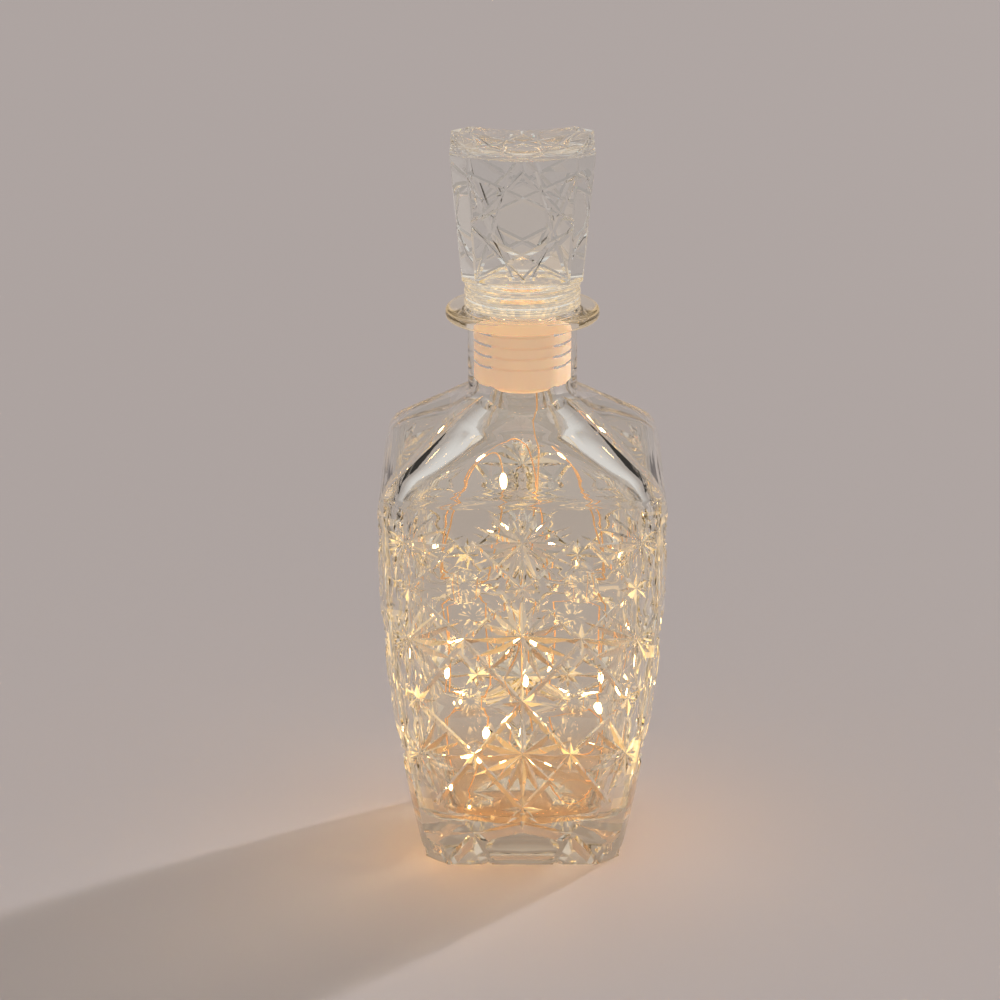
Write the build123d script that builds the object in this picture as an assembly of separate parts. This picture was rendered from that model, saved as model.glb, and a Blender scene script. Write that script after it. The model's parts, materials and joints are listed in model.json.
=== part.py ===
from build123d import *
import os
from math import atan2, cos, degrees, hypot, pi, radians, sin, sqrt, tan

# A cut glass decanter that is used as a light. All lengths are in millimetres, +Z is up, the origin
# is the centre of the base and the front face looks along -Y.

# General clearances
overrun = 2.0
run_gap = 0.05
seat_gap = 0.08
thin_gap = 0.02
wire_sides = 5
hidden_sides = 4

# Bottle: half widths of its square section, and the heights where they are reached
base_half = 34.0
waist_half = 43.2
waist_height = 50.0
full_half = 49.0
full_height = 125.0
eave_rise = 13.56
shoulder_slope = 36.0
shoulder_round = 16.0
bevel_reach = 8.0
ridge_inset = 2.4
foot_radius = 42.6
foot_spread_share = 0.45
punt_radius = 23.0
punt_depth = 1.2

# Bottle: the large cut stars, in columns up the middle of each face and beside its corners
star_rays = 8
star_radius = 16.5
star_notch_share = 0.5
star_depth = 2.5
star_side_share = 0.81
star_curve_shares = (0.003, 0.29, 0.652)

# Bottle: wall, floor and the rounded inner corners
side_wall = 5.0
shoulder_wall = 4.6
floor_height = 14.0
inner_corner = 9.0
inner_round = 11.0

# Bottle neck and its flat rim
neck_radius = 18.8
neck_root_round = 6.0
bore_radius = 10.8
neck_length = 32.5
rim_radius = 26.4
rim_thickness = 4.3
rim_edge_cut = 1.2
rim_root_cut = 2.0
split_drop = 8.5
mouth_flare = 1.2

# Glass stopper: collar, block, its star cuts and the spigot below it
collar_radius = 20.0
collar_height = 10.6
collar_groove_depth = 1.3
collar_rings = 3
ring_flat_share = 0.4
stopper_waist_radius = 17.2
stopper_waist_height = 1.4
block_base_half = 20.5
block_top_half = 24.6
block_height = 45.0
block_base_corner = 5.0
block_top_corner = 6.0
block_band = 5.5
block_foot_band = 2.2
cut_width = 2.6
cut_depth = 1.2
dish_depth = 5.0
eye_radius = 7.0
eye_depth = 0.3
spigot_radius = 8.0
spigot_length = 5.3

# Ribbed plug
plug_radius = 9.9
plug_length = 28.4
plug_web = 1.2
plug_lip = 0.5
plug_lip_height = 0.6
rib_count = 5
rib_first = 4.6
rib_pitch = 3.9
rib_root = 1.4

# Battery pod inside the plug
pod_radius = 8.7
pod_floor = 1.2
pod_lid_thickness = 1.2
pod_edge = 0.4
board_radius = 7.6
board_thickness = 1.0
lid_space = 1.0
cell_offset = 1.4
cell_radius = 5.8
cell_height = 3.05
cell_count = 3
cell_play = 0.15
cell_step = 0.35
plate_radius = 3.6
plate_thickness = 0.3
strip_width = 2.0
strip_thickness = 0.25
groove_depth = 0.65
groove_height = 1.4
cap_height = 3.1
cap_play = 0.05
lug_height = 0.9
lug_width = 2.6
lug_play = 0.1
slot_width = 1.2
slot_depth = 1.0
slot_length = 8.9
cap_plate_radius = 4.8
spring_wire = 0.5
spring_low_radius = 4.0
spring_top_radius = 3.0
spring_turns = 3
seal_groove_height = 1.0
seal_groove_depth = 0.7
seal_level = 12.0
seal_wire = 0.64
lid_ring = 0.7
resistor_length = 2.0
resistor_width = 1.25
resistor_height = 0.5
resistor_x = -2.0
resistor_y = 2.6

# Slide switch in the pod floor
switch_place = 6.75
switch_width = 2.2
switch_length = 5.4
switch_height = 3.0
switch_slot_width = 1.3
switch_slot_length = 4.1
switch_roof = 0.6
slider_width = 1.2
slider_length = 2.4
knob_length = 1.6
knob_out = 0.7
knob_notch = 0.25
slider_travel = 1.6
slider_lift = 0.2

# Light wire, its lamps and the seal where it leaves the pod
wire_diameter = 0.6
arc_share = 0.45
exit_x = 4.5
exit_y = -5.2
grommet_radius = 0.9
grommet_head = 1.15
grommet_head_height = 0.7
grommet_length = 3.0
channel_radius = 0.7
lamp_length = 4.2
lamp_radius = 1.4
lamp_end_radius = 0.6
lamp_sides = 8
chip_length = 1.6
chip_width = 0.8
chip_height = 0.6
chip_lift = 0.06
tip_radius = 1.0
tip_length = 3.2
tip_cut = 0.5

# Places that follow from the sizes above
shoulder_top = full_height + eave_rise + (full_half - neck_radius) * tan(radians(shoulder_slope))
rim_top = shoulder_top + neck_length
neck_split = shoulder_top - split_drop
block_base = rim_top + collar_height + stopper_waist_height
block_top = block_base + block_height
plug_bottom = rim_top - plug_length
pod_bottom = plug_bottom + plug_lip_height + seat_gap
socket_floor = rim_top - spigot_length - seat_gap
pod_top = socket_floor - plug_web - seat_gap
lid_bottom = pod_top - pod_lid_thickness
board_top = lid_bottom - lid_space
board_bottom = board_top - board_thickness
cells_top = board_bottom - plate_thickness - run_gap
cells_bottom = cells_top - cell_count * cell_height
bay_radius = cell_radius + cell_play
cap_radius = bay_radius - cap_play
cap_top = pod_bottom + cap_height
groove_bottom = pod_bottom + pod_floor
cap_axis = Vector(-cell_offset, 0, 0)
grommet_bottom = pod_bottom - grommet_head_height
wire_radius = wire_diameter / 2

# Where the wire hangs from the pod: its exit, a straight length below it, and the way to the loops
drop_points = [
    (exit_x, exit_y, grommet_bottom),
    (exit_x, exit_y, 155.0),
    (6.0, -10.5, 145.0),
]
# The loose wire in the bottle, from the middle of the run that the drop ends on
loop_points = [
    (4.5, -22.0, 126.0),
    (0.5, -26.5, 107.0),
    (-1.5, -25.5, 84.0),
    (3.0, -24.0, 50.0),
    (6.0, -21.0, 30.0),
    (15.0, -20.0, 19.0),
    (27.0, -20.0, 22.0),
    (29.0, -23.0, 40.0),
    (26.0, -27.0, 70.0),
    (30.0, -22.0, 101.0),
    (23.0, -14.0, 126.0),
    (15.0, -8.0, 143.0),
    (10.5, 4.0, 146.0),
    (19.0, 12.0, 131.0),
    (30.0, 17.0, 105.0),
    (26.0, 12.0, 70.0),
    (30.0, 16.0, 38.0),
    (27.0, 21.0, 20.0),
    (14.0, 27.0, 18.5),
    (8.0, 29.0, 35.0),
    (13.0, 26.0, 68.0),
    (7.0, 30.0, 100.0),
    (5.0, 21.0, 128.0),
    (-1.0, 12.0, 143.0),
    (-12.0, 8.0, 144.0),
    (-20.0, 13.0, 128.0),
    (-30.0, 18.0, 103.0),
    (-25.0, 14.0, 68.0),
    (-29.0, 19.0, 38.0),
    (-28.0, 12.0, 20.0),
    (-25.0, -4.0, 18.5),
    (-28.0, -10.0, 36.0),
    (-24.0, -14.0, 70.0),
    (-30.0, -18.0, 101.0),
    (-23.0, -15.0, 126.0),
    (-15.0, -10.0, 142.0),
    (-7.0, -16.0, 145.0),
    (-6.0, -25.0, 127.0),
    (-14.0, -26.0, 96.0),
    (-10.0, -24.0, 62.0),
    (-15.0, -26.0, 33.0),
    (-21.0, -21.0, 19.5),
]
# Where the lamps are, as shares of the loops' runs counted from their start
lamp_run_shares = (0.07, 0.19, 0.31, 0.38, 0.48, 0.6, 0.67, 0.76, 0.88, 0.95)

# Stopper cuts as (from, to) on one face, in shares of the half width and half height of its pattern
star_line_shares = [
    ((-1, 0), (0, 1)),
    ((0, 1), (1, 0)),
    ((1, 0), (0, -1)),
    ((0, -1), (-1, 0)),
    ((-1, -1), (-0.22, 1)),
    ((1, -1), (0.22, 1)),
    ((-1, 1), (-0.22, -1)),
    ((1, 1), (0.22, -1)),
    ((-1, -1), (1, -0.1)),
    ((1, -1), (-1, -0.1)),
    ((-1, 1), (1, 0.1)),
    ((1, 1), (-1, 0.1)),
]


def slope_drop(half):
    """How far the shoulder falls over this distance from the axis."""
    return half * tan(radians(shoulder_slope))


def side_curve(base, waist, full):
    """A side's curve from the full height down to the base, through half widths at three heights."""
    upper = TangentArc((full, full_height), (waist, waist_height), tangent=(0, -1))
    return upper + TangentArc(upper @ 1, (base, 0), tangent=upper % 1)


def body_outline(inset, lowered, corner_round):
    """The bottle's side view as a face in XZ, drawn in by inset at the sides and lowered at the shoulder."""
    apex = shoulder_top + slope_drop(neck_radius) - lowered
    top = full_half - inset
    eave = (top, apex - slope_drop(top))
    rest = Polyline((base_half - inset, 0), (0, 0), (0, apex), eave, (top, full_height))
    half = make_face(side_curve(base_half - inset, waist_half - inset, top) + rest)
    corner = half.vertices().sort_by_distance((eave[0], eave[1], 0))[0]
    return fillet(corner, corner_round)


def side_prism(outline, turn):
    """A slab with this side view, turned about Z."""
    whole = Plane.XZ * (outline + mirror(outline, Plane.YZ))
    return Rot(0, 0, turn) * extrude(whole, amount=2 * full_half, both=True)


def bevel_prism(width, turn):
    """A slab that cuts the upright corners, whose half width follows the bottle's by a rule."""
    low, high = width(base_half), width(full_half)
    rest = Polyline((low, 0), (0, 0), (0, rim_top), (high, rim_top), (high, full_height))
    return side_prism(make_face(side_curve(low, width(waist_half), high) + rest), turn)


def square_body(inset, lowered, corner_round):
    """The four sides and shoulders that the square section has."""
    outline = body_outline(inset, lowered, corner_round)
    return side_prism(outline, 0) & side_prism(outline, 90)


def bottle_outside():
    """Body with two narrow facets on each upright corner, and the cut that lifts the foot's corners."""
    run = bevel_reach - ridge_inset
    facet = hypot(ridge_inset, run)
    lean = degrees(atan2(ridge_inset, run))

    def width(half):
        return bevel_reach * (half - ridge_inset) / facet

    body = square_body(0, 0, shoulder_round)
    for turn in (lean, -lean, 90 + lean, 90 - lean):
        body = body & bevel_prism(width, turn)
    foot = Cone(
        foot_radius,
        foot_radius + foot_spread_share * rim_top,
        rim_top,
        align=(Align.CENTER, Align.CENTER, Align.MIN),
    )
    return body & foot


def bottle_inside():
    """The hollow of the body, above the thick floor, with its corners cut back."""
    lowered = shoulder_wall / cos(radians(shoulder_slope))

    def width(half):
        return sqrt(2) * (half - side_wall) - inner_corner / sqrt(2)

    hollow = square_body(side_wall, lowered, inner_round)
    for turn in (45, 135):
        hollow = hollow & bevel_prism(width, turn)
    above = Pos(0, 0, floor_height) * Box(
        2 * full_half, 2 * full_half, rim_top, align=(Align.CENTER, Align.CENTER, Align.MIN)
    )
    return hollow & above


def neck_outline():
    """Half section of the neck and the flat rim, as a face in XZ."""
    lean = radians(shoulder_slope)
    round_level = shoulder_top + neck_root_round * (cos(lean) - tan(lean) * (1 - sin(lean)))
    touch = neck_root_round * (1 - sin(lean))
    root = (neck_radius + touch, round_level - neck_root_round * cos(lean))
    middle_turn = (pi / 2 - lean) / 2
    middle = (
        neck_radius + neck_root_round * (1 - cos(middle_turn)),
        round_level - neck_root_round * sin(middle_turn),
    )
    rim_bottom = rim_top - rim_thickness
    skirt = ThreePointArc(root, middle, (neck_radius, round_level))
    low = shoulder_top - 2 * neck_root_round
    rest = Polyline(
        (neck_radius, round_level),
        (neck_radius, rim_bottom),
        (rim_radius, rim_bottom),
        (rim_radius, rim_top),
        (0, rim_top),
        (0, low),
        (root[0], low),
        root,
    )
    face = make_face(skirt + rest)
    edge = face.vertices().filter_by(lambda v: abs(v.X - rim_radius) < thin_gap)
    face = chamfer(edge, rim_edge_cut)
    inner = face.vertices().sort_by_distance((neck_radius, rim_bottom, 0))[0]
    return chamfer(inner, rim_root_cut)


def cut_star():
    """A star that ends in a point below and stands over the glass above."""
    rim = []
    for k in range(2 * star_rays):
        reach = star_radius * star_notch_share if k % 2 else star_radius
        rim.append(Vector(reach * cos(pi * k / star_rays), reach * sin(pi * k / star_rays), 0))
    tip = Vector(0, 0, -star_depth)
    lift = Vector(0, 0, overrun)
    faces = [Face(Wire.make_polygon([point + lift for point in rim]))]
    for a, b in zip(rim, rim[1:] + rim[:1]):
        faces.append(Face(Wire.make_polygon([tip, a, b])))
        faces.append(Face(Wire.make_polygon([a, b, b + lift, a + lift])))
    return Solid(Shell(faces))


def bottle_stars():
    """The large stars of the four faces, square to the glass where each is cut."""
    side = Wire(side_curve(base_half, waist_half, full_half).edges())
    star = cut_star()
    stars = []
    for share in star_curve_shares:
        spot, way = side @ share, side % share
        for column in (-star_side_share, 0, star_side_share):
            origin = (column * spot.X, -spot.X, spot.Y)
            face_plane = Plane(origin=origin, x_dir=(1, 0, 0), z_dir=(0, way.Y, way.X))
            stars += [Rot(0, 0, 90 * turn) * face_plane.location * star for turn in range(4)]
    return stars


def make_glass():
    """The glass shell, open at the mouth, as the body below a level and the neck and rim above it."""
    neck = revolve(Plane.XZ * neck_outline(), Axis.Z)
    glass = bottle_outside() + neck
    bore_depth = rim_top - shoulder_top + shoulder_wall
    bore = Pos(0, 0, rim_top + overrun) * Cylinder(
        bore_radius, bore_depth + overrun, align=(Align.CENTER, Align.CENTER, Align.MAX)
    )
    mouth = Pos(0, 0, rim_top) * Cone(
        bore_radius, bore_radius + mouth_flare, mouth_flare, align=(Align.CENTER, Align.CENTER, Align.MAX)
    )
    punt = Pos(0, 0, punt_depth) * Rot(180, 0, 0) * shallow_cone(punt_radius, punt_depth)
    glass = glass - bottle_inside() - bore - mouth - punt - bottle_stars()
    level = Plane.XY.offset(neck_split)
    return split(glass, level, keep=Keep.BOTTOM), split(glass, level, keep=Keep.TOP)


def collar_outline():
    """Half section of the ringed collar, its waist and the spigot, as a face in XZ."""
    ring = collar_height / collar_rings
    low = rim_top - spigot_length
    groove = collar_radius - collar_groove_depth
    points = [(0, low), (spigot_radius, low), (spigot_radius, rim_top), (collar_radius, rim_top)]
    for k in range(collar_rings):
        z = rim_top + k * ring
        if k:
            points.append((collar_radius, z + ring * (1 - ring_flat_share) / 2))
        points.append((collar_radius, z + ring * (1 + ring_flat_share) / 2))
        points.append((groove, z + ring))
    waist = stopper_waist_radius
    points += [(waist, rim_top + collar_height), (waist, block_base), (0, block_base)]
    return make_face(Polyline(*points, close=True))


def shallow_cone(radius, depth):
    """A cutter on its tip that has this radius at this height, and goes on above it."""
    height = depth + overrun
    return Cone(0, radius * height / depth, height, align=(Align.CENTER, Align.CENTER, Align.MIN))


def tapered_slab(low_half, high_half, turn):
    """A slab that widens upwards over the block's height, turned about Z."""
    sides = [(low_half, 0), (high_half, block_height), (-high_half, block_height), (-low_half, 0)]
    slab = extrude(Plane.XZ * make_face(Polyline(*sides, close=True)), amount=2 * block_top_half, both=True)
    return Pos(0, 0, block_base) * Rot(0, 0, turn) * slab


def stopper_block():
    """The square block that widens upwards, with cut corners and a dished top."""
    block = tapered_slab(block_base_half, block_top_half, 0)
    block = block & tapered_slab(block_base_half, block_top_half, 90)
    low_corner = (2 * block_base_half - block_base_corner) / sqrt(2)
    high_corner = (2 * block_top_half - block_top_corner) / sqrt(2)
    for turn in (45, 135):
        block = block & tapered_slab(low_corner, high_corner, turn)
    corner = hypot(block_top_half, block_top_half - block_top_corner)
    floor = block_top - dish_depth
    dish = Pos(0, 0, floor) * shallow_cone(corner, dish_depth)
    return block - dish - disc(eye_radius, floor - eye_depth, block_top)


def groove(start, end, face_plane):
    """A straight V cut between two points of a plane, as deep as a star's cut."""
    first, last = Vector(*start), Vector(*end)
    along = last - first
    turn = degrees(atan2(along.Y, along.X))
    length = along.length + cut_width
    middle = (first + last) / 2
    half = cut_width / 2
    section = [(0, -cut_depth), (half, 0), (half, cut_depth), (-half, cut_depth), (-half, 0)]
    wedge = extrude(Plane.YZ * make_face(Polyline(*section, close=True)), amount=length / 2, both=True)
    return face_plane * Pos(middle.X, middle.Y, 0) * Rot(0, 0, turn) * wedge


def star_cuts():
    """The star lattice on the four faces of the block, and a short notch over each star."""
    lean = degrees(atan2(block_top_half - block_base_half, block_height))
    pattern_low = block_base + block_foot_band
    pattern_high = block_top - block_band
    middle_height = (pattern_low + pattern_high) / 2
    share = (middle_height - block_base) / block_height
    middle_half = block_base_half + share * (block_top_half - block_base_half)
    slant = hypot(block_height, block_top_half - block_base_half) / block_height
    tall = (pattern_high - pattern_low) / 2 * slant
    low_flat = block_base_half - block_base_corner
    high_flat = block_top_half - block_top_corner
    cuts = []
    for side in range(4):
        upright = Plane(origin=(0, -middle_half, middle_height), x_dir=(1, 0, 0), z_dir=(0, -1, 0))
        tilted = upright.rotated((lean, 0, 0))
        face_plane = Plane(Rot(0, 0, 90 * side) * tilted.location)

        def place(u, v):
            half = low_flat + (high_flat - low_flat) * (v + 1) / 2
            return (u * half, v * tall)

        for (u0, v0), (u1, v1) in star_line_shares:
            cuts.append(groove(place(u0, v0), place(u1, v1), face_plane))
        cuts.append(groove(place(0, 1), (0, tall + block_band), face_plane))
    return cuts


def make_stopper():
    """Solid glass block on a ringed collar, with the spigot that the plug grips."""
    body = stopper_block()
    for cut in star_cuts():
        body = body - cut
    return body + revolve(Plane.XZ * collar_outline(), Axis.Z)


def disc(radius, low, high, centre=(0, 0)):
    """An upright cylinder between two heights."""
    return Pos(centre[0], centre[1], low) * Cylinder(
        radius, high - low, align=(Align.CENTER, Align.CENTER, Align.MIN)
    )


def block_at(x_size, y_size, low, high, centre=(0, 0)):
    """An upright box between two heights."""
    return Pos(centre[0], centre[1], low) * Box(
        x_size, y_size, high - low, align=(Align.CENTER, Align.CENTER, Align.MIN)
    )


def make_plug_seal():
    """Translucent sleeve: ribs that grip the neck, a socket for the spigot and a bore for the pod."""
    rib_radius = bore_radius - run_gap
    top = rim_top - thin_gap * 2
    lip_low = rim_top - mouth_flare
    points = [(0, plug_bottom), (plug_radius - plug_lip, plug_bottom), (plug_radius, plug_bottom + plug_lip)]
    for k in range(rib_count):
        z = plug_bottom + rib_first + k * rib_pitch
        points += [
            (plug_radius, z - rib_root / 2),
            (rib_radius, z),
            (plug_radius, z + rib_root / 2),
        ]
    points += [
        (plug_radius, lip_low - mouth_flare),
        (rib_radius, lip_low),
        (rib_radius + mouth_flare - run_gap, top),
        (0, top),
    ]
    body = revolve(Plane.XZ * make_face(Polyline(*points, close=True)), Axis.Z)
    socket = disc(spigot_radius + run_gap, socket_floor, rim_top + overrun)
    bore = disc(pod_radius + run_gap, plug_bottom + plug_lip_height, socket_floor - plug_web)
    mouth = disc(pod_radius - plug_lip, plug_bottom - overrun, plug_bottom + plug_lip_height)
    return body - socket - bore - mouth


def lugs(radius, low, high, width, turn):
    """Two opposite bars across the cap's axis that reach this radius."""
    bar = Rot(0, 0, turn) * block_at(2 * radius, width, low, high)
    return Pos(cap_axis) * (bar & disc(radius, low, high))


def switch_centre():
    """Centre of the slide switch in plan."""
    return (switch_place, 0)


def make_pod_housing():
    """Cup with the cell bay, a bayonet groove, the switch bay and the wire's channel."""
    shell = disc(pod_radius, pod_bottom, lid_bottom)
    shell = chamfer(shell.edges().filter_by(GeomType.CIRCLE).sort_by(Axis.Z)[0], pod_edge)
    centre = (cap_axis.X, cap_axis.Y)
    shell -= disc(bay_radius, pod_bottom - overrun, board_bottom + overrun, centre)
    shell -= disc(bay_radius + groove_depth, groove_bottom, groove_bottom + groove_height, centre)
    shell -= lugs(
        bay_radius + groove_depth, pod_bottom - overrun, groove_bottom, lug_width + 2 * lug_play, 90
    )
    shell -= disc(board_radius + run_gap, board_bottom, lid_bottom + overrun)
    strip_y = bay_radius + strip_thickness / 2
    shell -= block_at(
        strip_width + 2 * lug_play,
        strip_thickness + 4 * lug_play,
        groove_bottom + groove_height,
        board_bottom + overrun,
        (centre[0], strip_y),
    )
    bay_top = groove_bottom + switch_height + run_gap
    shell -= block_at(
        switch_width + 2 * run_gap, switch_length + 2 * run_gap, groove_bottom, bay_top, switch_centre()
    )
    shell -= block_at(
        switch_slot_width + 2 * lug_play,
        switch_slot_length,
        pod_bottom - overrun,
        groove_bottom,
        switch_centre(),
    )
    shell -= disc(
        grommet_radius + thin_gap,
        pod_bottom - overrun,
        grommet_bottom + grommet_length + run_gap,
        (exit_x, exit_y),
    )
    shell -= disc(channel_radius, pod_bottom, board_bottom + overrun, (exit_x, exit_y))
    ring_low = pod_bottom + seal_level
    ring = disc(pod_radius + overrun, ring_low, ring_low + seal_groove_height)
    shell -= ring - disc(pod_radius - seal_groove_depth, ring_low, ring_low + seal_groove_height)
    return shell


def make_switch_body():
    """Small switch case with the slot that its slider runs in, open below."""
    low = groove_bottom + thin_gap
    high = groove_bottom + switch_height
    case = block_at(switch_width, switch_length, low, high, switch_centre())
    slot = block_at(
        switch_slot_width, switch_slot_length, low - overrun, high - switch_roof, switch_centre()
    )
    return case - slot


def make_switch_slider():
    """Sliding contact block and the ribbed knob that shows under the pod."""
    low = groove_bottom + slider_lift
    high = groove_bottom + switch_height - switch_roof - slider_lift
    place = (switch_place, slider_travel / 2)
    slider = block_at(slider_width, slider_length, low, high, place)
    knob_low = pod_bottom - knob_out
    slider += block_at(slider_width, knob_length, knob_low, low, place)
    for step in (-1, 0, 1):
        notch = Pos(switch_place, place[1] + step * knob_length / 3, knob_low) * Rot(45, 0, 0)
        slider -= notch * Box(slider_width * 2, knob_notch, knob_notch)
    return slider


def make_battery_cap():
    """Coin-slot cap with two bayonet lugs."""
    centre = (cap_axis.X, cap_axis.Y)
    cap = disc(cap_radius, pod_bottom, cap_top, centre)
    lug_low = groove_bottom + (groove_height - lug_height) / 2
    reach = bay_radius + groove_depth - lug_play
    cap += lugs(reach, lug_low, lug_low + lug_height, lug_width, 0)
    cap -= block_at(slot_length, slot_width, pod_bottom - overrun, pod_bottom + slot_depth, centre)
    return cap


def make_cap_contact():
    """Thin disc on the inner side of the cap."""
    centre = (cap_axis.X, cap_axis.Y)
    return disc(cap_plate_radius, cap_top, cap_top + plate_thickness, centre)


def biarc(start, start_way, end, end_way):
    """Two arcs that join end to end and keep the directions given at both ends."""
    across = end - start
    ways = start_way + end_way
    bend = 2 * (1 - start_way.dot(end_way))
    reach = (sqrt(across.dot(ways) ** 2 + bend * across.dot(across)) - across.dot(ways)) / bend
    joint = (start + end + (start_way - end_way) * reach) / 2
    first = TangentArc(start, joint, tangent=start_way)
    return [first, TangentArc(joint, end, tangent=first % 1)]


def spring_state(turns):
    """Place and direction of the contact spring's wire after this many turns."""
    low = cap_top + plate_thickness + thin_gap + spring_wire / 2
    high = cells_bottom - run_gap - spring_wire / 2
    share = turns / spring_turns
    spread = spring_top_radius - spring_low_radius
    radius = spring_low_radius + share * spread
    angle = 2 * pi * turns
    shrink = spread / (2 * pi * spring_turns)
    climb = (high - low) / (2 * pi * spring_turns)
    place = Vector(radius * cos(angle), radius * sin(angle), low + share * (high - low))
    way = Vector(
        shrink * cos(angle) - radius * sin(angle), shrink * sin(angle) + radius * cos(angle), climb
    )
    return place, way.normalized()


def make_contact_spring():
    """Conical coil that pushes the cells against the board's contact."""
    states = [spring_state(k / 4) for k in range(4 * spring_turns + 1)]
    arcs = [arc for a, b in zip(states, states[1:]) for arc in biarc(*a, *b)]
    path = Wire([edge for arc in arcs for edge in arc.edges()])
    section = Plane(origin=path @ 0, z_dir=path % 0) * RegularPolygon(spring_wire / 2, hidden_sides)
    steps = 24
    spots = [spring_state(k / steps)[0] for k in range(steps * spring_turns + 1)]
    gap = min((b - a).length for i, a in enumerate(spots) for b in spots[i + 2 * steps // 3 :]) - spring_wire
    print(f"contact_spring: least gap to itself {gap:.2f}")
    return Pos(cap_axis) * sweep(section, path=path)


def make_battery(index):
    """Button cell: can below, smaller positive face above."""
    centre = (cap_axis.X, cap_axis.Y)
    low = cells_bottom + index * cell_height
    rim = cell_height - cell_step
    cell = disc(cell_radius, low, low + rim, centre)
    return cell + disc(cell_radius - 2 * cell_step, low + rim, low + cell_height - thin_gap, centre)


def make_contact_plate():
    """Positive contact under the board."""
    low = board_bottom - plate_thickness
    return disc(plate_radius, low, board_bottom, (cap_axis.X, cap_axis.Y))


def make_contact_strip():
    """Strip from the cap's contact up the bay wall to the board."""
    low = groove_bottom + groove_height + run_gap
    y = bay_radius + strip_thickness / 2 + lug_play
    return block_at(strip_width, strip_thickness, low, board_bottom, (cap_axis.X, y))


def make_circuit_board():
    """Round board on the ledge over the cells."""
    return disc(board_radius, board_bottom, board_top)


def make_resistor():
    """Chip resistor on the board."""
    place = (resistor_x, resistor_y)
    return block_at(resistor_length, resistor_width, board_top, board_top + resistor_height, place)


def make_pod_lid():
    """Lid whose ring sits in the housing's mouth and holds the board down."""
    lid = disc(pod_radius, lid_bottom, pod_top)
    low = board_top + thin_gap
    return lid + (disc(board_radius, low, lid_bottom) - disc(board_radius - lid_ring, low, lid_bottom))


def make_pod_o_ring():
    """Rubber ring in the pod's groove."""
    level = pod_bottom + seal_level + seal_groove_height / 2
    reach = pod_radius - seal_groove_depth + seal_wire / 2 + thin_gap
    ring = Pos(reach, level) * RegularPolygon(seal_wire / 2, hidden_sides)
    return revolve(Plane.XZ * ring, Axis.Z)


def make_wire_grommet():
    """Soft sleeve with a head, in the pod floor, that the wire leaves through."""
    spot = (exit_x, exit_y)
    sleeve = disc(grommet_head, grommet_bottom, pod_bottom, spot)
    sleeve += disc(grommet_radius, pod_bottom, grommet_bottom + grommet_length, spot)
    return sleeve - disc(
        wire_radius + thin_gap, grommet_bottom - overrun, grommet_bottom + grommet_length + overrun, spot
    )


def corner_radii(points):
    """For each inner point, a share of its shorter run over the tangent of half its turn."""
    radii = []
    for before, here, after in zip(points, points[1:], points[2:]):
        inward = Vector(*here) - Vector(*before)
        outward = Vector(*after) - Vector(*here)
        turn = radians(inward.get_angle(outward))
        radii.append(arc_share * min(inward.length, outward.length) / tan(turn / 2))
    return radii


def wire_tube(name, points):
    """A round wire along straight runs joined by tangent arcs."""
    radii = corner_radii(points)
    path = FilletPolyline(*points, radius=radii)
    section = Plane(origin=path @ 0, z_dir=path % 0) * RegularPolygon(wire_radius, wire_sides)
    tube = sweep(section, path=path)
    expected = section.area * path.length
    turns = [
        (Vector(*b) - Vector(*a)).get_angle(Vector(*c) - Vector(*b))
        for a, b, c in zip(points, points[1:], points[2:])
    ]
    print(f"{name}: length {path.length:.1f}, least radius {min(radii):.2f}, largest turn {max(turns):.0f}")
    print(f"{name}: volume {tube.volume:.3f} against {expected:.3f}")
    print(name, "radii", " ".join(f"{r:.1f}" for r in radii))
    return tube


def join_point():
    """Middle of the run on which the drop hands over to the loops."""
    return tuple((Vector(*drop_points[-1]) + Vector(*loop_points[0])) / 2)


def make_pod_leads():
    """Wire inside the pod, from the board to the exit."""
    return disc(wire_radius, grommet_bottom, board_bottom, (exit_x, exit_y))


def make_wire_drop():
    """Wire from the pod's exit to the loops."""
    return wire_tube("light_wire_drop", [*drop_points, join_point()])


def make_light_wire():
    """The loose loops in the bottle."""
    return wire_tube("light_wire", [join_point(), *loop_points])


def run_plane(share):
    """Plane across the middle of the straight stretch of the run at this share, its Z along the wire."""
    points = [Vector(*p) for p in (join_point(), *loop_points)]
    runs = [(after - before).length for before, after in zip(points, points[1:])]
    index = round(share * len(runs))
    start_trim = arc_share * min(runs[index], runs[index - 1])
    end_trim = arc_share * min(runs[index], runs[index + 1])
    along = (points[index + 1] - points[index]).normalized()
    reach = (start_trim + runs[index] - end_trim) / 2
    return Plane(origin=points[index] + along * reach, z_dir=along)


def chip_box(grow):
    """A lamp's chip beside the wire, larger by grow on each side."""
    reach = wire_radius + chip_lift + chip_height / 2
    return Pos(reach, 0, 0) * Box(chip_height + 2 * grow, chip_width + 2 * grow, chip_length + 2 * grow)


def lamp_bead():
    """A clear drop round the wire with room for the chip."""
    middle = RegularPolygon(lamp_radius, lamp_sides)
    draw_in = (lamp_radius - lamp_end_radius) * cos(pi / lamp_sides)
    lean = degrees(atan2(draw_in, lamp_length / 2))
    upper = extrude(middle, amount=lamp_length / 2, taper=lean)
    drop = upper + mirror(upper, Plane.XY)
    hole = RegularPolygon(wire_radius + thin_gap, lamp_sides, major_radius=False)
    drop -= extrude(hole, amount=lamp_length, both=True)
    return drop - chip_box(thin_gap)


def make_led_beads():
    """All the lamps' clear drops."""
    bead = lamp_bead()
    return Compound(children=[run_plane(share) * bead for share in lamp_run_shares])


def make_led_chips():
    """All the lamps' chips."""
    return Compound(children=[run_plane(share) * chip_box(0) for share in lamp_run_shares])


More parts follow.
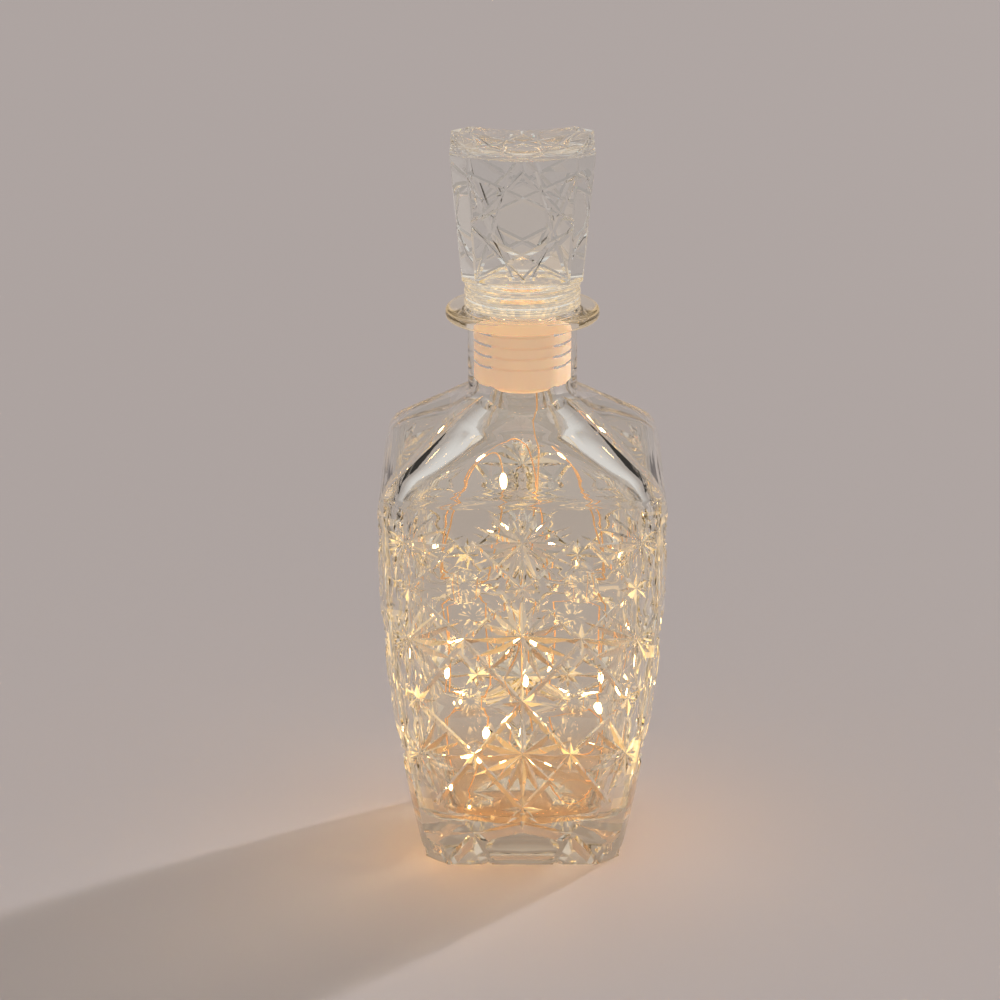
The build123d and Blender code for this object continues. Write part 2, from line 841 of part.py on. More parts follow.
def make_wire_tip():
    """Insulating drop over the wire's cut end."""
    last, before = Vector(*loop_points[-1]), Vector(*loop_points[-2])
    plane = Plane(origin=last, z_dir=last - before)
    middle = RegularPolygon(tip_radius, lamp_sides)
    end = RegularPolygon(tip_radius - tip_cut, lamp_sides)
    levels = [(0, end), (tip_cut, middle), (tip_length - tip_cut, middle), (tip_length, end)]
    return plane * loft([Pos(0, 0, z) * face for z, face in levels], ruled=True)


makers = {
    "stopper": make_stopper,
    "plug_seal": make_plug_seal,
    "pod_housing": make_pod_housing,
    "pod_lid": make_pod_lid,
    "pod_o_ring": make_pod_o_ring,
    "circuit_board": make_circuit_board,
    "resistor": make_resistor,
    "contact_plate": make_contact_plate,
    "contact_strip": make_contact_strip,
    "switch_body": make_switch_body,
    "switch_slider": make_switch_slider,
    "battery_cap": make_battery_cap,
    "cap_contact": make_cap_contact,
    "contact_spring": make_contact_spring,
    "wire_grommet": make_wire_grommet,
    "pod_leads": make_pod_leads,
    "light_wire_drop": make_wire_drop,
    "light_wire": make_light_wire,
    "led_beads": make_led_beads,
    "led_chips": make_led_chips,
    "wire_tip": make_wire_tip,
}

os.makedirs("parts", exist_ok=True)
for name, glass_part in zip(("bottle", "bottle_neck"), make_glass()):
    export_step(glass_part, f"parts/{name}.step")
for name, make in makers.items():
    export_step(make(), f"parts/{name}.step")
for index in range(cell_count):
    export_step(make_battery(index), f"parts/battery_{index + 1}.step")
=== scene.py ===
"""A cut glass decanter lit by a loose wire of small lamps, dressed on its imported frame."""

import json
import logging
import math
import random
from dataclasses import dataclass, field
from enum import Enum
from typing import Callable, Sequence

import bmesh
import bpy
from mathutils import Matrix, Vector

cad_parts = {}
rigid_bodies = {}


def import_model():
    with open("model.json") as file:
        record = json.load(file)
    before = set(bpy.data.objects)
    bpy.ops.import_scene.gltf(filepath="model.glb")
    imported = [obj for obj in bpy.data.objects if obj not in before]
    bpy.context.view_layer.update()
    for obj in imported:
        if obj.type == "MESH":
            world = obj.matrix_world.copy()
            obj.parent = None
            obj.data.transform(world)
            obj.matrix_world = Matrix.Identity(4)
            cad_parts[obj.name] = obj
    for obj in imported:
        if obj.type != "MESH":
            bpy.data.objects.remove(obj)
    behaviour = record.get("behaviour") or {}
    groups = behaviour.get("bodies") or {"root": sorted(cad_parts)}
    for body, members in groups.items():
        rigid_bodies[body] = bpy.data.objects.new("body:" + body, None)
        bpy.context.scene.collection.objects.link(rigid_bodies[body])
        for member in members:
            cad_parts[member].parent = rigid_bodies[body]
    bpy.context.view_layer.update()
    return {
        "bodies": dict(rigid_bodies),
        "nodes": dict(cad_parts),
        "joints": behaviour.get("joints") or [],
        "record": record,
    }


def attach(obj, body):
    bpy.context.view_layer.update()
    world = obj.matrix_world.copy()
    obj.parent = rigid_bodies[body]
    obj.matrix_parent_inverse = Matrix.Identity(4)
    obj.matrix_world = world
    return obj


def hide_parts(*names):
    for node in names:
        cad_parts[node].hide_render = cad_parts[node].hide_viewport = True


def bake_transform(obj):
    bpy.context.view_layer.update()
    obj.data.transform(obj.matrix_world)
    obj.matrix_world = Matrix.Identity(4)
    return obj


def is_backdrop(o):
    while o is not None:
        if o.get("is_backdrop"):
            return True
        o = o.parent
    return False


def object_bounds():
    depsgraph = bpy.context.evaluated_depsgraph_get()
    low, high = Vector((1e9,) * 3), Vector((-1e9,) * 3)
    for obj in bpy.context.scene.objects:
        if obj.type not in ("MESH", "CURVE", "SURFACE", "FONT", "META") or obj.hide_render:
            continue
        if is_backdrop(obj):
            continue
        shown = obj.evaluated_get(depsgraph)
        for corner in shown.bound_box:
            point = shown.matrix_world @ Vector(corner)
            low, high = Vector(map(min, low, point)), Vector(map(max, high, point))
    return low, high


LOG = logging.getLogger("decanter")
MM = 0.001
Point = tuple[float, float, float]


class Side(Enum):
    """The four faces of the decanter, as turns about Z from the front."""

    FRONT = 0
    RIGHT = 90
    BACK = 180
    LEFT = 270


class Value:
    """A shader value that takes part in ordinary sums."""

    def __init__(self, shader: "Shader", socket: bpy.types.NodeSocket) -> None:
        """Keeps the shader that the value belongs to and the socket that gives it."""
        self.shader = shader
        self.socket = socket

    def _math(self, operation: str, first: object, second: object) -> "Value":
        """Adds one Math node.

        Args:
            operation: the node's operation.
            first: its first value or number.
            second: its second value or number.

        Returns:
            The node's result.
        """
        node = self.shader.node("ShaderNodeMath", {"operation": operation}, {0: first, 1: second})
        return Value(self.shader, node.outputs[0])

    def __add__(self, other: object) -> "Value":
        """The sum."""
        return self._math("ADD", self, other)

    def __mul__(self, other: object) -> "Value":
        """The product."""
        return self._math("MULTIPLY", self, other)

    def __sub__(self, other: object) -> "Value":
        """The difference."""
        return self._math("SUBTRACT", self, other)

    def __rsub__(self, other: object) -> "Value":
        """The difference from a number."""
        return self._math("SUBTRACT", other, self)

    __radd__ = __add__
    __rmul__ = __mul__

    def most(self, other: object) -> "Value":
        """The larger of the two."""
        return self._math("MAXIMUM", self, other)


class Shader:
    """The node tree of a material or of the world, filled by one method."""

    def __init__(self, owner: bpy.types.ID) -> None:
        """Clears the owner's node tree."""
        owner.use_nodes = True
        self.tree = owner.node_tree
        self.tree.nodes.clear()

    def node(self, kind: str, settings: dict | None = None, inputs: dict | None = None) -> bpy.types.Node:
        """Adds a node.

        Args:
            kind: the node's type name.
            settings: properties that are set before the sockets.
            inputs: socket name or number to a number, colour, Value or socket.

        Returns:
            The new node.
        """
        made = self.tree.nodes.new(kind)
        for name, value in (settings or {}).items():
            if name == "stops":
                ramp = made.color_ramp
                ramp.elements[0].position, ramp.elements[0].color = value[0]
                ramp.elements[1].position, ramp.elements[1].color = value[-1]
                for place, colour in value[1:-1]:
                    ramp.elements.new(place).color = colour
            else:
                setattr(made, name, value)
        for name, value in (inputs or {}).items():
            value = value.socket if isinstance(value, Value) else value
            if isinstance(value, bpy.types.NodeSocket):
                self.tree.links.new(value, made.inputs[name])
            else:
                made.inputs[name].default_value = value
        return made

    def noise(self, scale: float, detail: float = 4.0, stretch: Point = (1.0, 1.0, 1.0)) -> Value:
        """A noise over the piece's own place.

        Args:
            scale: waves per metre.
            detail: octaves of finer waves.
            stretch: how much the pattern is squeezed along each axis.

        Returns:
            The noise from 0 to 1.
        """
        place = self.node("ShaderNodeTexCoord").outputs["Object"]
        mapped = self.node("ShaderNodeMapping", None, {"Vector": place, "Scale": stretch}).outputs[0]
        found = self.node("ShaderNodeTexNoise", None, {"Vector": mapped, "Scale": scale, "Detail": detail})
        return Value(self, found.outputs[0])

    def ramp(self, factor: Value, low: Sequence[float], high: Sequence[float]) -> bpy.types.NodeSocket:
        """A colour that runs from low to high with the factor."""
        stops = [(0.3, (*low[:3], 1.0)), (0.7, (*high[:3], 1.0))]
        return self.node("ShaderNodeValToRGB", {"stops": stops}, {0: factor}).outputs[0]

    def bump(self, height: Value, distance: float, strength: float = 0.4) -> bpy.types.NodeSocket:
        """A normal from a height in metres."""
        inputs = {"Height": height, "Distance": distance, "Strength": strength}
        return self.node("ShaderNodeBump", None, inputs).outputs[0]


def shade(colour: Sequence[float], amount: float) -> tuple[float, ...]:
    """The colour times an amount, within the range a surface can have."""
    return tuple(min(1.0, max(0.0, c * amount)) for c in colour[:3])


@dataclass(frozen=True)
class Finish:
    """A plain moulded, turned or drawn surface with its own grain."""

    slot: str
    colour: Point
    roughness: float = 0.45
    metallic: float = 0.0
    coat: float = 0.0
    grain: float = 400.0
    stretch: Point = (1.0, 1.0, 1.0)
    vary: float = 0.12
    relief: float = 0.00004
    # Emission: the lamps' own light on the beads and chips; painted glow on the plug, the copper and the wire's tip.
    glow: Point = (0.0, 0.0, 0.0)
    glow_strength: float = 0.0
    translucent: float = 0.0

    def material(self) -> bpy.types.Material:
        """Makes the finish's material."""
        made = bpy.data.materials.new(self.slot)
        shader = Shader(made)
        grain = shader.noise(self.grain, stretch=self.stretch)
        cloud = shader.noise(self.grain / 9.0, 2.0)
        base = shader.ramp(cloud, shade(self.colour, 1 - self.vary), shade(self.colour, 1 + self.vary))
        surface = shader.node(
            "ShaderNodeBsdfPrincipled",
            None,
            {
                "Base Color": base,
                "Roughness": grain * 0.16 + (self.roughness - 0.08),
                "Metallic": self.metallic,
                "Coat Weight": self.coat,
                "Normal": shader.bump(grain, self.relief),
                "Emission Color": (*self.glow, 1.0),
                "Emission Strength": self.glow_strength,
                "Subsurface Weight": self.translucent,
                "Subsurface Radius": (0.006, 0.003, 0.0015),
                "Subsurface Scale": 1.0,
            },
        )
        shader.node("ShaderNodeOutputMaterial", None, {"Surface": surface.outputs[0]})
        return made


@dataclass(frozen=True)
class Glass:
    """Pressed glass with the faint waves of its mould, which lets light through to what is behind it, and painted
    glints on its cut faces.
    """

    slot: str
    tint: Point
    shadow: Point = (0.58, 0.56, 0.5)
    # Painted glints: an emission in this colour, scaled by each face's glow share, stands in for the lamps' light
    # caught in the cut glass.
    glow: Point = (1.0, 0.65, 0.22)
    glow_strength: float = 0.3
    # Painted shade: a darker, browner colour for the glass towards the foot.
    painted_foot_shade: Point | None = None
    foot_height: float = 0.022
    wave: float = 0.00012

    def material(self) -> bpy.types.Material:
        """Makes the glass's material."""
        made = bpy.data.materials.new(self.slot)
        shader = Shader(made)
        waves = shader.noise(55.0, 2.0)
        # Painted glints: each face's glow share sets how much of the glow colour the glass gives off as emission.
        glint_amount = shader.node("ShaderNodeAttribute", {"attribute_name": "glow"}).outputs["Fac"]
        glint_colour = shader.node("ShaderNodeVectorMath", {"operation": "SCALE"}, {0: self.glow, "Scale": glint_amount})
        tint = (*self.tint, 1.0)
        # Painted shade: the glass's colour darkens to a browner tone towards the foot.
        if self.painted_foot_shade:
            place = shader.node("ShaderNodeTexCoord").outputs["Object"]
            height = Value(shader, shader.node("ShaderNodeSeparateXYZ", None, {0: place}).outputs[2])
            tint = shader.ramp(height * (0.5 / self.foot_height), self.painted_foot_shade, self.tint)
        surface = shader.node(
            "ShaderNodeBsdfPrincipled",
            None,
            {
                "Base Color": tint,
                "Roughness": 0.0,
                "IOR": 1.51,
                "Transmission Weight": 1.0,
                "Normal": shader.bump(waves, self.wave, 0.25),
                "Emission Color": glint_colour.outputs[0],
                "Emission Strength": self.glow_strength,
            },
        )
        clear = shader.node("ShaderNodeBsdfTransparent", None, {"Color": (*self.shadow, 1.0)})
        ray = shader.node("ShaderNodeLightPath")
        mixed = shader.node(
            "ShaderNodeMixShader",
            None,
            {0: ray.outputs["Is Shadow Ray"], 1: surface.outputs[0], 2: clear.outputs[0]},
        )
        shader.node("ShaderNodeOutputMaterial", None, {"Surface": mixed.outputs[0]})
        return made


WARM = (1.0, 0.62, 0.27)
CLEAR_GLASS = Glass("clear_glass", (0.985, 0.965, 0.91), painted_foot_shade=(0.89, 0.74, 0.56))
STOPPER_GLASS = Glass("stopper_glass", (0.95, 0.965, 0.94))
BEAD_RESIN = Finish("bead_resin", (0.98, 0.88, 0.66), 0.18, grain=900.0, glow=WARM, glow_strength=135.0)
LAMP_CHIP = Finish("lamp_chip", (1.0, 0.82, 0.45), 0.3, glow=(1.0, 0.74, 0.42), glow_strength=60.0)
# The plug's glow is painted light: an emission that stands in for the lamps' light shining up through it.
PLUG = Finish(
    "plug_plastic", (0.95, 0.76, 0.6), 0.42, grain=260.0, vary=0.04, glow=(1.0, 0.6, 0.38), glow_strength=0.28,
    translucent=0.4,
)
POD = Finish("pod_plastic", (0.86, 0.84, 0.79), 0.5, vary=0.06)
SEAL = Finish("seal_rubber", (0.05, 0.05, 0.05), 0.7, vary=0.3)
LAMINATE = Finish("board_laminate", (0.03, 0.22, 0.09), 0.35, coat=0.4, grain=1500.0, vary=0.25)
CERAMIC = Finish("chip_ceramic", (0.06, 0.06, 0.07), 0.5, vary=0.3)
CONTACT = Finish("contact_metal", (0.86, 0.66, 0.32), 0.28, 1.0, grain=900.0, stretch=(1, 12, 1), vary=0.12)
SPRING = Finish("spring_metal", (0.62, 0.62, 0.62), 0.3, 1.0, grain=2500.0, vary=0.2)
CELL = Finish("cell_steel", (0.66, 0.67, 0.68), 0.26, 1.0, grain=900.0, stretch=(1, 1, 14), vary=0.1)
SWITCH = Finish("switch_plastic", (0.05, 0.05, 0.05), 0.5, vary=0.3)
SLIDER = Finish("slider_plastic", (0.09, 0.09, 0.09), 0.5, vary=0.3)
GROMMET = Finish("grommet_rubber", (0.74, 0.72, 0.67), 0.62, vary=0.08)
# The copper's faint glow is painted light: an emission, though the wire and the leads hold no lamp.
COPPER = Finish("wire_copper", (0.86, 0.42, 0.17), 0.3, 1.0, coat=0.6, grain=1800.0, vary=0.22, glow=WARM, glow_strength=0.25)


class Shape:
    """A mesh in millimetres, made by turning, lofting and cutting."""

    def __init__(self) -> None:
        """Starts empty."""
        self.bm = bmesh.new()

    def turned(self, outline: Sequence[Point], steps: int = 112, segments: int = 6) -> "Shape":
        """Turns a closed outline about Z.

        Args:
            outline: (radius, height, rounding) of each corner, in order.
            steps: faces round the turn.
            segments: faces of each rounding.

        Returns:
            This shape.
        """
        bm = self.bm
        corners = [bm.verts.new((radius, 0.0, height)) for radius, height, _ in outline]
        bm.faces.new(corners)
        for corner, (_, _, rounding) in zip(corners, outline):
            if rounding:
                bmesh.ops.bevel(
                    bm, geom=[corner], offset=rounding, offset_type="OFFSET", segments=segments,
                    profile=0.5, affect="VERTICES", material=-1,
                )
        bmesh.ops.delete(bm, geom=bm.faces[:], context="FACES_ONLY")
        inner = [e for e in bm.edges if all(abs(v.co.x) < 1e-6 for v in e.verts)]
        bmesh.ops.delete(bm, geom=inner, context="EDGES")
        bmesh.ops.spin(
            bm, geom=bm.verts[:] + bm.edges[:], cent=(0, 0, 0), axis=(0, 0, 1),
            angle=2 * math.pi, steps=steps, use_merge=True,
        )
        return self.close()

    def lofted(self, sections: Sequence[Sequence[Point]]) -> "Shape":
        """Runs a skin through rings of equally many points and closes both ends.

        Args:
            sections: the rings, from first to last.

        Returns:
            This shape.
        """
        bm = self.bm
        ring = bmesh.ops.create_circle(bm, segments=len(sections[0]), radius=1.0)["verts"]
        for vert, place in zip(ring, sections[0]):
            vert.co = place
        edges = bm.edges[:]
        for section in sections[1:]:
            made = bmesh.ops.extrude_edge_only(bm, edges=edges)["geom"]
            fresh = {g for g in made if isinstance(g, bmesh.types.BMVert)}
            ring = [next(e.other_vert(v) for e in v.link_edges if e.other_vert(v) in fresh) for v in ring]
            for vert, place in zip(ring, section):
                vert.co = place
            edges = [g for g in made if isinstance(g, bmesh.types.BMEdge) and set(g.verts) <= fresh]
        bmesh.ops.holes_fill(bm, edges=bm.edges[:], sides=0)
        return self.close()

    def star(self, rays: int, reach: float, notch_share: float, depth: float, lift: float = 3.0) -> "Shape":
        """A cutter whose point leaves a star of wheel cuts.

        Args:
            rays: points of the star.
            reach: from the middle to a point.
            notch_share: share of the reach at which two rays meet.
            depth: how deep the middle goes.
            lift: how far the cutter stands out of the glass.

        Returns:
            This shape.
        """
        bm = self.bm
        bmesh.ops.create_circle(bm, cap_ends=True, cap_tris=True, segments=2 * rays, radius=reach)
        middle = min(bm.verts, key=lambda v: v.co.length)
        rim = sorted((v for v in bm.verts if v is not middle), key=lambda v: math.atan2(v.co.y, v.co.x))
        bmesh.ops.scale(bm, vec=(notch_share, notch_share, 1.0), verts=rim[::2])
        middle.co.z = -depth
        edges = [e for e in bm.edges if middle not in e.verts]
        made = bmesh.ops.extrude_edge_only(bm, edges=edges)["geom"]
        raised = [g for g in made if isinstance(g, bmesh.types.BMVert)]
        bmesh.ops.translate(bm, vec=(0, 0, lift), verts=raised)
        bmesh.ops.holes_fill(bm, edges=bm.edges[:], sides=0)
        return self.close()

    def wedge(self, length: float, width: float, depth: float) -> "Shape":
        """A cutter along X for a straight V cut, wider where it stands out of the glass."""
        bm = self.bm
        rise = 3 * depth
        spread = width / 2 * (rise + depth) / depth
        corners = ((0.0, -depth), (spread, rise), (-spread, rise))
        ring = bmesh.ops.create_circle(bm, segments=len(corners), radius=1.0, cap_ends=True)["verts"]
        for vert, (y, z) in zip(ring, corners):
            vert.co = (-length / 2, y, z)
        made = bmesh.ops.extrude_face_region(bm, geom=bm.faces[:])["geom"]
        moved = [g for g in made if isinstance(g, bmesh.types.BMVert)]
        bmesh.ops.translate(bm, vec=(length, 0, 0), verts=moved)
        return self.close()

    def ball(self, radius: float, depth: float, squeeze: Point = (1.0, 1.0, 1.0)) -> "Shape":
        """A cutter for a round hollow, its lowest point depth below the surface."""
        bmesh.ops.create_uvsphere(self.bm, u_segments=48, v_segments=32, radius=radius)
        bmesh.ops.scale(self.bm, vec=squeeze, verts=self.bm.verts[:])
        bmesh.ops.translate(self.bm, vec=(0, 0, radius * squeeze[2] - depth), verts=self.bm.verts[:])
        return self

    def block(self, size: Point, rounding: float = 0.0) -> "Shape":
        """A box about the origin with rounded edges."""
        bmesh.ops.create_cube(self.bm, size=1.0)
        bmesh.ops.scale(self.bm, vec=size, verts=self.bm.verts[:])
        if rounding:
            bmesh.ops.bevel(
                self.bm, geom=self.bm.edges[:], offset=rounding, segments=3, profile=0.5,
                affect="EDGES", material=-1,
            )
        return self

    def painted_glints(self, rule: Callable[[Vector, Vector, float], float]) -> "Shape":
        """Gives each face its share of painted glint, an emission that stands in for the lamps' light caught in the
        glass.

        Args:
            rule: takes a face's middle, its normal and its area and returns the share.

        Returns:
            This shape.
        """
        layer = self.bm.faces.layers.float.new("glow")
        for face in self.bm.faces:
            face[layer] = rule(face.calc_center_median(), face.normal, face.calc_area())
        return self

    def put(self, matrix: Matrix) -> "Shape":
        """Moves the whole shape."""
        bmesh.ops.transform(self.bm, matrix=matrix, verts=self.bm.verts[:])
        return self

    def close(self) -> "Shape":
        """Merges doubles and turns all faces outwards."""
        bmesh.ops.remove_doubles(self.bm, verts=self.bm.verts[:], dist=1e-4)
        bmesh.ops.recalc_face_normals(self.bm, faces=self.bm.faces[:])
        return self

    def join(self, other: "Shape") -> "Shape":
        """Adds another shape's mesh to this one."""
        loose = bpy.data.meshes.new("loose")
        other.bm.to_mesh(loose)
        self.bm.from_mesh(loose)
        bpy.data.meshes.remove(loose)
        other.bm.free()
        return self

    def boolean(self, others: Sequence["Shape"], operation: str) -> "Shape":
        """Unites this shape with others or cuts them out of it, all at once.

        Args:
            others: closed shapes, used up by this.
            operation: UNION or DIFFERENCE.

        Returns:
            This shape.
        """
        group = bpy.data.collections.new("cutters")
        bpy.context.scene.collection.children.link(group)
        bodies = []
        for shape in (self, *others):
            mesh = bpy.data.meshes.new("work")
            shape.bm.to_mesh(mesh)
            bodies.append(bpy.data.objects.new("work", mesh))
            (group if len(bodies) > 1 else bpy.context.scene.collection).objects.link(bodies[-1])
        cut = bodies[0].modifiers.new("cut", "BOOLEAN")
        cut.operand_type, cut.solver = "COLLECTION", "EXACT"
        cut.collection, cut.operation = group, operation
        bpy.context.view_layer.update()
        result = bpy.data.meshes.new_from_object(bodies[0].evaluated_get(bpy.context.evaluated_depsgraph_get()))
        self.bm.clear()
        self.bm.from_mesh(result)
        for shape in others:
            shape.bm.free()
        for body in bodies:
            mesh = body.data
            bpy.data.objects.remove(body)
            bpy.data.meshes.remove(mesh)
        bpy.data.collections.remove(group)
        bpy.data.meshes.remove(result)
        return self

    def finished(self, name: str, sharp: float = 22.0) -> bpy.types.Object:
        """Makes the object, in metres, smooth except at sharp edges.

        Args:
            name: the object's name.
            sharp: the angle in degrees past which an edge is sharp.

        Returns:
            The object.
        """
        bmesh.ops.remove_doubles(self.bm, verts=self.bm.verts[:], dist=5e-5)
        bmesh.ops.scale(self.bm, vec=(MM, MM, MM), verts=self.bm.verts[:])
        for face in self.bm.faces:
            face.smooth = True
        for edge in self.bm.edges:
            edge.smooth = edge.is_manifold and edge.calc_face_angle(0.0) < math.radians(sharp)
        mesh = bpy.data.meshes.new(name)
        self.bm.to_mesh(mesh)
        open_edges = sum(len(e.link_faces) % 2 for e in self.bm.edges)
        LOG.info("%s: %d faces, %d open edges", name, len(self.bm.faces), open_edges)
        self.bm.free()
        made = bpy.data.objects.new(name, mesh)
        bpy.context.scene.collection.objects.link(made)
        return made


def between(place: float, table: Sequence[tuple[float, float]]) -> float:
    """The value at a place of a table of places and values, on straight lines between them."""
    for (low, first), (high, last) in zip(table, table[1:]):
        if place <= high:
            return first + (last - first) * max(0.0, place - low) / (high - low)
    return table[-1][1]


def dress(piece: bpy.types.Object, finish: Finish | Glass, body: str, *nodes: str) -> bpy.types.Object:
    """Gives a piece its finish, its body and the nodes that it stands for.

    Args:
        piece: the new object.
        finish: its finish.
        body: the body that it rides on.
        nodes: the nodes that it replaces.

    Returns:
        The piece.
    """
    piece.data.materials.clear()
    piece.data.materials.append(finish.material())
    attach(piece, body)
    if nodes:
        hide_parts(*nodes)
    return piece


@dataclass
class Decanter:
    """The glass body: a square that swells upwards, with cut stars, and a round neck with a flat rim."""

    base_half: float = 34.0
    waist_half: float = 43.2
    waist_height: float = 50.0
    full_half: float = 49.0
    full_height: float = 125.0
    shoulder_top: float = 160.5
    slope: float = math.radians(36.0)
    shoulder_round: float = 16.0
    bevel_reach: float = 8.0
    ridge_inset: float = 2.4
    foot_radius: float = 42.6
    foot_spread_share: float = 0.45
    side_wall: float = 5.0
    shoulder_wall: float = 4.6
    floor_height: float = 14.0
    floor_round: float = 9.0
    inner_corner: float = 10.0
    inner_round: float = 11.0
    throat_round: float = 8.0
    neck_radius: float = 18.8
    bore_radius: float = 10.8
    rim_radius: float = 26.4
    rim_top: float = 193.0
    rim_thickness: float = 4.3
    big_stars: tuple[tuple[float, float, float], ...] = (
        (0.0, 122.5, 18.0), (0.0, 88.4, 20.0), (0.0, 43.2, 19.0),
        (40.0, 122.5, 18.0), (38.8, 87.5, 20.0), (35.6, 43.5, 18.0),
    )
    small_stars: tuple[tuple[float, float, float], ...] = (
        (0.0, 106.2, 7.0), (0.0, 64.2, 7.5), (0.0, 22.4, 7.5), (20.0, 88.0, 6.5), (16.5, 43.8, 6.0),
        (38.5, 106.5, 6.5), (36.0, 65.5, 6.5),
    )
    buttons: tuple[tuple[float, float, float], ...] = ((19.8, 107.5, 6.2), (17.8, 64.8, 5.6))
    cuts: tuple[tuple[float, float, float, float], ...] = (
        (0.0, 106.2, 20.0, 88.0), (20.0, 88.0, 0.0, 64.2), (0.0, 64.2, 16.5, 43.8), (16.5, 43.8, 0.0, 22.4),
        (20.0, 88.0, 38.5, 106.5), (20.0, 88.0, 36.0, 65.5), (16.5, 43.8, 36.0, 65.5),
        (0.0, 106.2, 20.0, 126.0), (20.0, 126.0, 38.5, 106.5), (16.5, 43.8, 32.0, 22.0),
    )
    foot_cuts: tuple[tuple[float, float, float, float], ...] = (
        (11.5, -1.0, 17.0, 11.0), (17.0, 11.0, 26.0, 0.0), (26.0, 0.0, 33.0, 12.0), (17.0, 11.0, 0.0, 15.5),
    )
    # Painted glints: how strongly the cut faces glow at each height, most where the lamps hang.
    painted_glint_levels: tuple[tuple[float, float], ...] = (
        (0.0, 0.05), (14.0, 0.1), (24.0, 0.6), (43.0, 1.2), (64.0, 0.8), (88.0, 0.8), (112.0, 0.65), (126.0, 0.4),
        (134.0, 0.1), (150.0, 0.15), (166.0, 0.1), (186.0, 0.1), (193.0, 0.4),
    )
    luck: random.Random = field(default_factory=lambda: random.Random(11))

    def eave(self) -> float:
        """Height at which the shoulder's slope would meet the upright side."""
        return self.shoulder_top - (self.full_half - self.neck_radius) * math.tan(self.slope)

    def half_at(self, z: float) -> float:
        """Half width of the outside at a height."""
        reach = self.full_half - self.waist_half
        rise = self.full_height - self.waist_height
        upper = (reach**2 + rise**2) / (2 * reach)
        turn = self.shoulder_round * math.tan((math.pi / 2 - self.slope) / 2)
        start = self.eave() - turn
        end = self.eave() + turn * math.sin(self.slope)
        if z >= end:
            return self.full_half - (z - self.eave()) / math.tan(self.slope)
        if z > start:
            return self.full_half - self.shoulder_round + math.sqrt(self.shoulder_round**2 - (z - start) ** 2)
        if z >= self.full_height:
            return self.full_half
        if z >= self.waist_height:
            return self.full_half - upper + math.sqrt(upper**2 - (self.full_height - z) ** 2)
        across, up = self.waist_half - self.base_half, self.waist_height
        normal = ((upper - reach) / upper, -rise / upper)
        lower = (across**2 + up**2) / (2 * (normal[0] * across + normal[1] * up))
        centre = (self.waist_half - normal[0] * lower, self.waist_height - normal[1] * lower)
        return centre[0] + math.sqrt(lower**2 - (z - centre[1]) ** 2)

    def outer_section(self, z: float) -> list[Point]:
        """The outside's ring of twelve points at a height."""
        half = self.half_at(z)
        widest = self.full_half if z > self.full_height else half
        run = (self.bevel_reach - self.ridge_inset) / self.ridge_inset
        near = min(half, widest - self.bevel_reach + run * (widest - half))
        ridge = min(half, widest - self.ridge_inset)
        limit = self.foot_radius + self.foot_spread_share * z
        ring = []
        for turn in range(4):
            spin = Matrix.Rotation(turn * math.pi / 2, 2)
            for x, y in ((near, -half), (ridge, -ridge), (half, -near)):
                place = spin @ Vector((x, y))
                place *= min(1.0, limit / place.length)
                ring.append((place.x, place.y, z))
        return ring

    def inner_half(self, z: float) -> float:
        """Half width of the hollow at a height."""
        wall = self.full_half - self.side_wall
        apex = self.shoulder_top + self.neck_radius * math.tan(self.slope) - self.shoulder_wall / math.cos(self.slope)
        eave = apex - wall * math.tan(self.slope)
        turn = self.inner_round * math.tan((math.pi / 2 - self.slope) / 2)
        throat = apex - self.bore_radius * math.tan(self.slope)
        bend = self.throat_round * math.tan((math.pi / 2 - self.slope) / 2)
        if z >= throat + bend:
            return self.bore_radius
        if z > throat - bend * math.sin(self.slope):
            return self.bore_radius + self.throat_round - math.sqrt(self.throat_round**2 - (throat + bend - z) ** 2)
        if z >= eave + turn * math.sin(self.slope):
            return (apex - z) / math.tan(self.slope)
        if z > eave - turn:
            return wall - self.inner_round + math.sqrt(self.inner_round**2 - (z - eave + turn) ** 2)
        return self.half_at(z) - self.side_wall

    def rounded_square(self, half: float, z: float, points: int = 96) -> list[Point]:
        """A ring of points round a square with round corners, which is a circle where it is small."""
        corner = min(half, self.inner_corner + max(0.0, 2.0 * self.neck_radius - half))
        flat = half - corner
        ring = []
        for k in range(points):
            angle = 2 * math.pi * (k + 0.5) / points
            c, s = abs(math.cos(angle)), abs(math.sin(angle))
            big, small = max(c, s), min(c, s)
            reach = half / big
            if reach * small > flat:
                reach = flat * (c + s) + math.sqrt(corner**2 - flat**2 * (1 - 2 * c * s))
            ring.append((reach * math.cos(angle), reach * math.sin(angle), z))
        return ring

    def hollow(self) -> Shape:
        """The inside, from the floor up through the bore and the flared mouth."""
        rings = []
        foot = self.floor_height + self.floor_round
        for step in range(7):
            lean = math.pi / 2 * step / 6
            z = foot - self.floor_round * math.cos(lean)
            rings.append(self.rounded_square(self.inner_half(foot) - self.floor_round * (1 - math.sin(lean)), z))
        z = foot
        while z < 166.0:
            z += 4.0 if z < 126.0 else 0.9
            rings.append(self.rounded_square(self.inner_half(z), z))
        mouth = ((self.bore_radius, self.rim_top - 1.2), (self.bore_radius + 1.2, self.rim_top), (self.bore_radius + 3.2, self.rim_top + 2.0))
        rings += [self.rounded_square(half, z) for half, z in mouth]
        return Shape().lofted(rings)

    def facing(self, side: Side, x: float, z: float) -> Matrix:
        """Where a cutter goes so that its Z points out of the glass at a place on a face."""
        rate = (self.half_at(z + 0.5) - self.half_at(z - 0.5)) if z < self.full_height else 0.0
        out = Vector((0.0, -1.0, -rate)).normalized()
        across = Vector((1.0, 0.0, 0.0))
        up = out.cross(across)
        half = self.half_at(min(z, self.full_height))
        frame = Matrix((across, up, out)).transposed().to_4x4()
        frame.translation = Vector((x, -half, z))
        return Matrix.Rotation(math.radians(side.value), 4, "Z") @ frame

